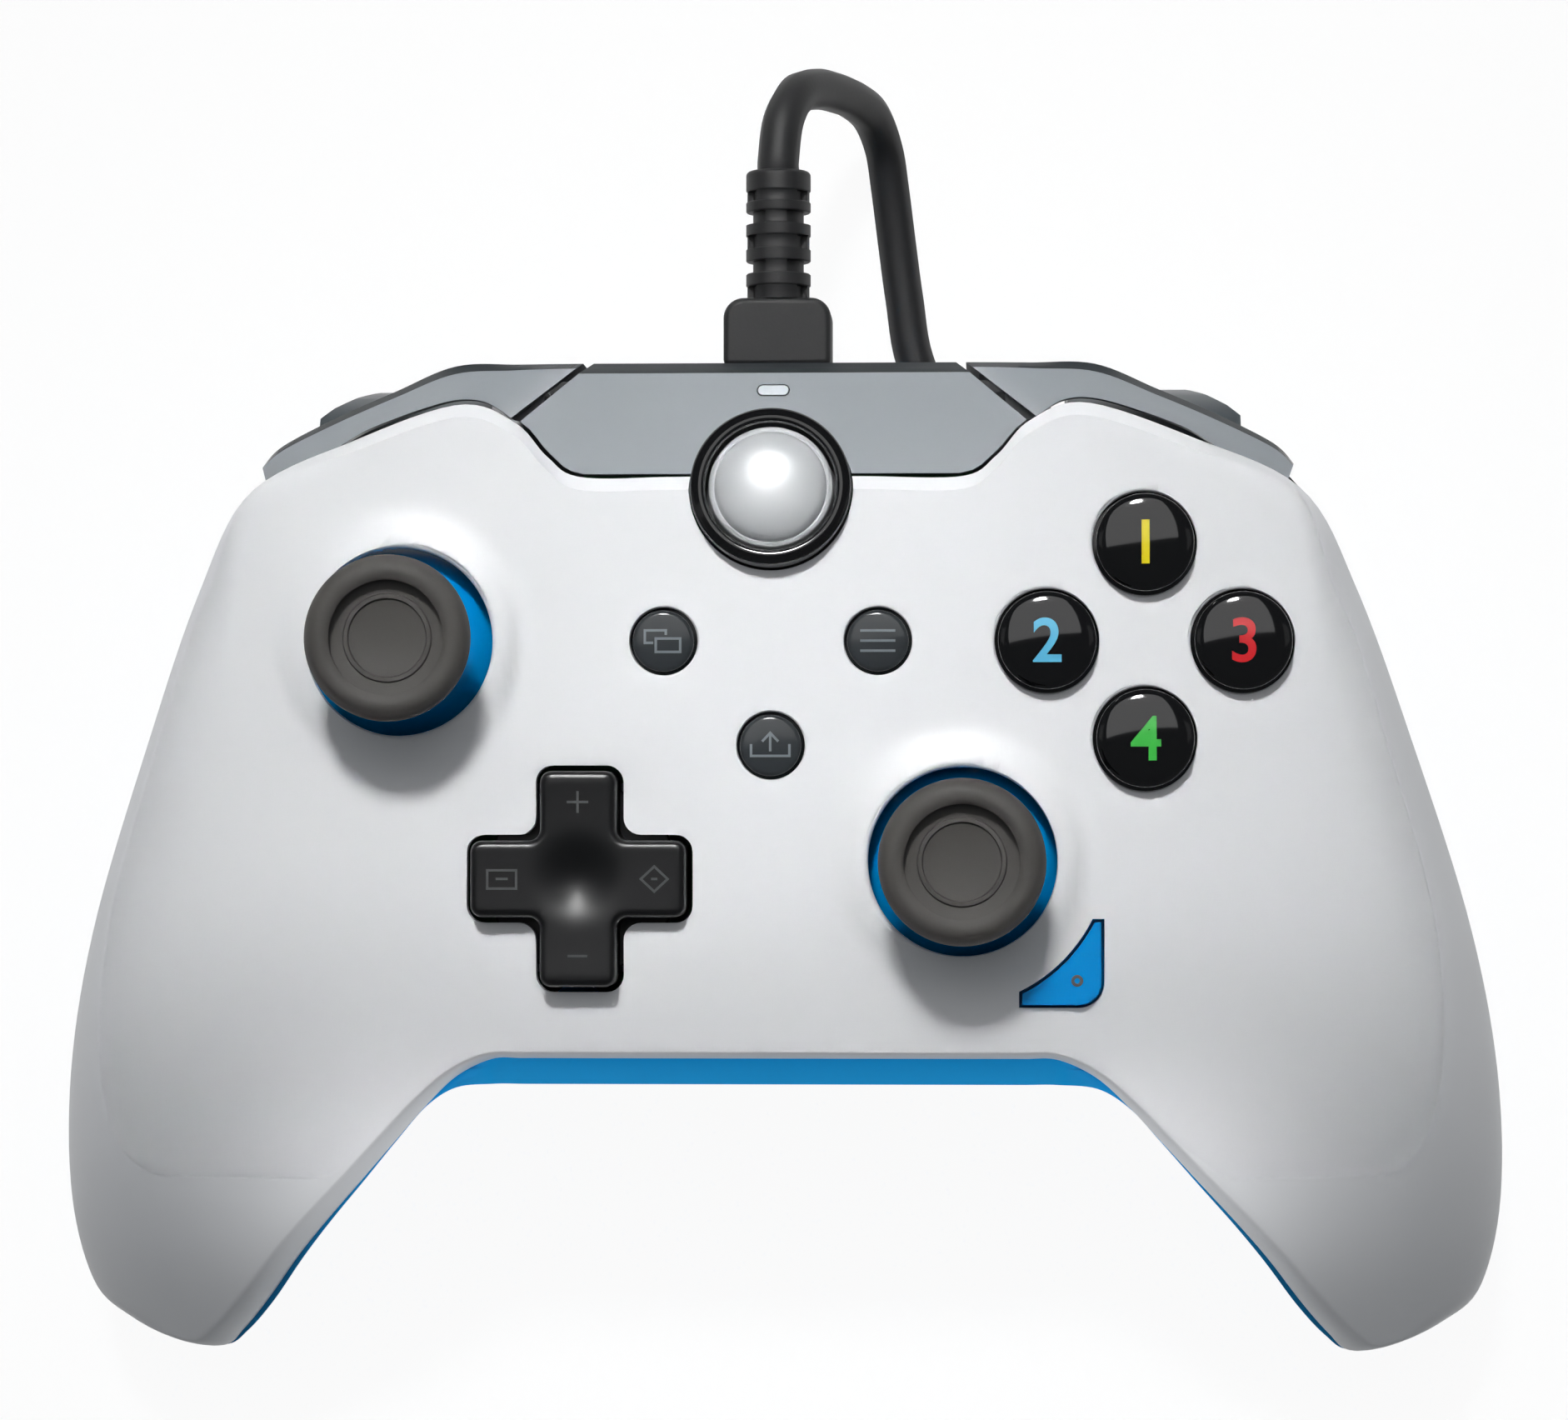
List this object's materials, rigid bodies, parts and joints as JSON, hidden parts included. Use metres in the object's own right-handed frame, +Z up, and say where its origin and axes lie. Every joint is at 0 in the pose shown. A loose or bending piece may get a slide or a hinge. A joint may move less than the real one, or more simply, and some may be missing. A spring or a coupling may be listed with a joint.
{
  "type": "gamepad controller",
  "caption": "Wired game controller for both hands, with moulded grips, tilting thumbsticks, cross pad, domed buttons, bumpers, pivoting triggers and a coiled lead.",
  "frame": {"origin": "on the table under the middle of the pad", "axes": "+X to the right for the player, +Y away from the player, +Z up through the face"},
  "size_m": [0.1572, 0.1412, 0.0578],
  "materials": {
    "shell_white": "satin moulded",
    "shell_blue": "satin moulded",
    "trim_grey": "polished",
    "gloss_black": "polished",
    "button_silver": "metallic paint",
    "clear_lens": "frosted",
    "board_green": "solder mask",
    "silicone_grey": "moulded",
    "inner_plastic": "moulded",
    "steel": "drawn",
    "weight_brass": "sintered",
    "stick_rubber": "fine grain",
    "lead_rubber": "smooth"
  },
  "bodies": {
    "body": {"front_shell": "shell_white", "rear_shell": "shell_blue", "top_panel": "trim_grey", "dpad_post": "trim_grey", "guide_ring": "gloss_black", "headset_jack": "gloss_black", "status_lens": "clear_lens", "main_board": "board_green", "face_button_pad": "silicone_grey", "dpad_pad": "silicone_grey", "centre_button_pad": "silicone_grey", "tact_switches": "inner_plastic", "bumper_switches": "inner_plastic", "left_stick_base": "inner_plastic", "right_stick_base": "inner_plastic", "left_trigger_bracket": "inner_plastic", "right_trigger_bracket": "inner_plastic", "usb_socket": "steel", "case_screws": "steel", "left_motor": "steel", "right_motor": "steel", "left_trigger_pin": "steel", "right_trigger_pin": "steel", "left_trigger_spring": "steel", "right_trigger_spring": "steel", "usb_plug": "lead_rubber", "strain_relief": "lead_rubber", "cable": "lead_rubber", "cable_coil": "lead_rubber", "cable_tail": "lead_rubber", "far_plug": "lead_rubber"},
    "left_weight": {"left_motor_weight": "weight_brass"},
    "left_trigger": {"left_trigger": "trim_grey"},
    "left_bumper": {"left_bumper": "trim_grey"},
    "left_ring": {"left_stick_ring": "steel"},
    "left_hub": {"left_stick_hub": "inner_plastic"},
    "left_stick": {"left_stick_shaft": "gloss_black", "left_stick_dome": "shell_blue", "left_stick_cap": "stick_rubber"},
    "right_weight": {"right_motor_weight": "weight_brass"},
    "right_trigger": {"right_trigger": "trim_grey"},
    "right_bumper": {"right_bumper": "trim_grey"},
    "right_ring": {"right_stick_ring": "steel"},
    "right_hub": {"right_stick_hub": "inner_plastic"},
    "right_stick": {"right_stick_shaft": "gloss_black", "right_stick_dome": "shell_blue", "right_stick_cap": "stick_rubber"},
    "dpad_ball": {"dpad_ball": "steel"},
    "dpad": {"dpad": "gloss_black"},
    "top_button": {"top_button": "gloss_black"},
    "left_button": {"left_button": "gloss_black"},
    "right_button": {"right_button": "gloss_black"},
    "bottom_button": {"bottom_button": "gloss_black"},
    "view_button": {"view_button": "trim_grey"},
    "menu_button": {"menu_button": "trim_grey"},
    "share_button": {"share_button": "trim_grey"},
    "function_button": {"function_button": "shell_blue"},
    "guide_button": {"guide_button": "button_silver"}
  },
  "joints": [
    {"name": "left_weight_spin", "type": "hinge", "parent": "body", "child": "left_weight", "pos_m": [-0.064, -0.027, 0.017], "axis": [0, 1, 0], "continuous": true},
    {"name": "left_trigger_pull", "type": "hinge", "parent": "body", "child": "left_trigger", "pos_m": [-0.0406, 0.041, 0.031], "axis": [-1, 0, 0], "range_deg": [0, 16], "stiffness_Nm_per_rad": 0.12, "deforming": ["left_trigger_spring"]},
    {"name": "left_bumper_press", "type": "hinge", "parent": "body", "child": "left_bumper", "pos_m": [-0.027, 0.0498, 0.033], "axis": [0, 0, 1], "range_deg": [0, 1.5], "stiffness_Nm_per_rad": 1.5},
    {"name": "left_stick_fore_aft", "type": "hinge", "parent": "body", "child": "left_ring", "pos_m": [-0.039, 0.0235, 0.03264], "axis": [1, 0, 0], "range_deg": [-16, 16], "stiffness_Nm_per_rad": 0.03},
    {"name": "left_stick_sideways", "type": "hinge", "parent": "left_ring", "child": "left_hub", "pos_m": [-0.039, 0.0235, 0.03264], "axis": [0, 1, 0], "range_deg": [-16, 16], "stiffness_Nm_per_rad": 0.03},
    {"name": "left_stick_click", "type": "slide", "parent": "left_hub", "child": "left_stick", "axis": [0, 0, -1], "range_m": [0, 0.0006], "stiffness_N_per_m": 3000},
    {"name": "right_weight_spin", "type": "hinge", "parent": "body", "child": "right_weight", "pos_m": [0.064, -0.027, 0.017], "axis": [0, 1, 0], "continuous": true},
    {"name": "right_trigger_pull", "type": "hinge", "parent": "body", "child": "right_trigger", "pos_m": [0.0406, 0.041, 0.031], "axis": [-1, 0, 0], "range_deg": [0, 16], "stiffness_Nm_per_rad": 0.12, "deforming": ["right_trigger_spring"]},
    {"name": "right_bumper_press", "type": "hinge", "parent": "body", "child": "right_bumper", "pos_m": [0.027, 0.0498, 0.033], "axis": [0, 0, -1], "range_deg": [0, 1.5], "stiffness_Nm_per_rad": 1.5},
    {"name": "right_stick_fore_aft", "type": "hinge", "parent": "body", "child": "right_ring", "pos_m": [0.02, 0.0005, 0.03327], "axis": [1, 0, 0], "range_deg": [-16, 16], "stiffness_Nm_per_rad": 0.03},
    {"name": "right_stick_sideways", "type": "hinge", "parent": "right_ring", "child": "right_hub", "pos_m": [0.02, 0.0005, 0.03327], "axis": [0, 1, 0], "range_deg": [-16, 16], "stiffness_Nm_per_rad": 0.03},
    {"name": "right_stick_click", "type": "slide", "parent": "right_hub", "child": "right_stick", "axis": [0, 0, -1], "range_m": [0, 0.0006], "stiffness_N_per_m": 3000},
    {"name": "dpad_fore_aft", "type": "hinge", "parent": "body", "child": "dpad_ball", "pos_m": [-0.02, -0.0013, 0.04037], "axis": [1, 0, 0], "range_deg": [-3.5, 3.5], "stiffness_Nm_per_rad": 0.2, "deforming": ["dpad_pad"]},
    {"name": "dpad_sideways", "type": "hinge", "parent": "dpad_ball", "child": "dpad", "pos_m": [-0.02, -0.0013, 0.04037], "axis": [0, 1, 0], "range_deg": [-3.5, 3.5], "stiffness_Nm_per_rad": 0.2, "deforming": ["dpad_pad"]},
    {"name": "top_button_press", "type": "slide", "parent": "body", "child": "top_button", "axis": [0, 0, -1], "range_m": [0, 0.0015], "stiffness_N_per_m": 500, "deforming": ["face_button_pad"]},
    {"name": "left_button_press", "type": "slide", "parent": "body", "child": "left_button", "axis": [0, 0, -1], "range_m": [0, 0.0015], "stiffness_N_per_m": 500, "deforming": ["face_button_pad"]},
    {"name": "right_button_press", "type": "slide", "parent": "body", "child": "right_button", "axis": [0, 0, -1], "range_m": [0, 0.0015], "stiffness_N_per_m": 500, "deforming": ["face_button_pad"]},
    {"name": "bottom_button_press", "type": "slide", "parent": "body", "child": "bottom_button", "axis": [0, 0, -1], "range_m": [0, 0.0015], "stiffness_N_per_m": 500, "deforming": ["face_button_pad"]},
    {"name": "view_button_press", "type": "slide", "parent": "body", "child": "view_button", "axis": [0, 0, -1], "range_m": [0, 0.0006], "stiffness_N_per_m": 1000, "deforming": ["centre_button_pad"]},
    {"name": "menu_button_press", "type": "slide", "parent": "body", "child": "menu_button", "axis": [0, 0, -1], "range_m": [0, 0.0006], "stiffness_N_per_m": 1000, "deforming": ["centre_button_pad"]},
    {"name": "share_button_press", "type": "slide", "parent": "body", "child": "share_button", "axis": [0, 0, -1], "range_m": [0, 0.0006], "stiffness_N_per_m": 1000, "deforming": ["centre_button_pad"]},
    {"name": "function_button_press", "type": "slide", "parent": "body", "child": "function_button", "axis": [0, 0, -1], "range_m": [0, 0.0006], "stiffness_N_per_m": 1500},
    {"name": "guide_button_press", "type": "slide", "parent": "body", "child": "guide_button", "axis": [0, -0.1736, -0.9848], "range_m": [0, 0.0006], "stiffness_N_per_m": 1500}
  ]
}
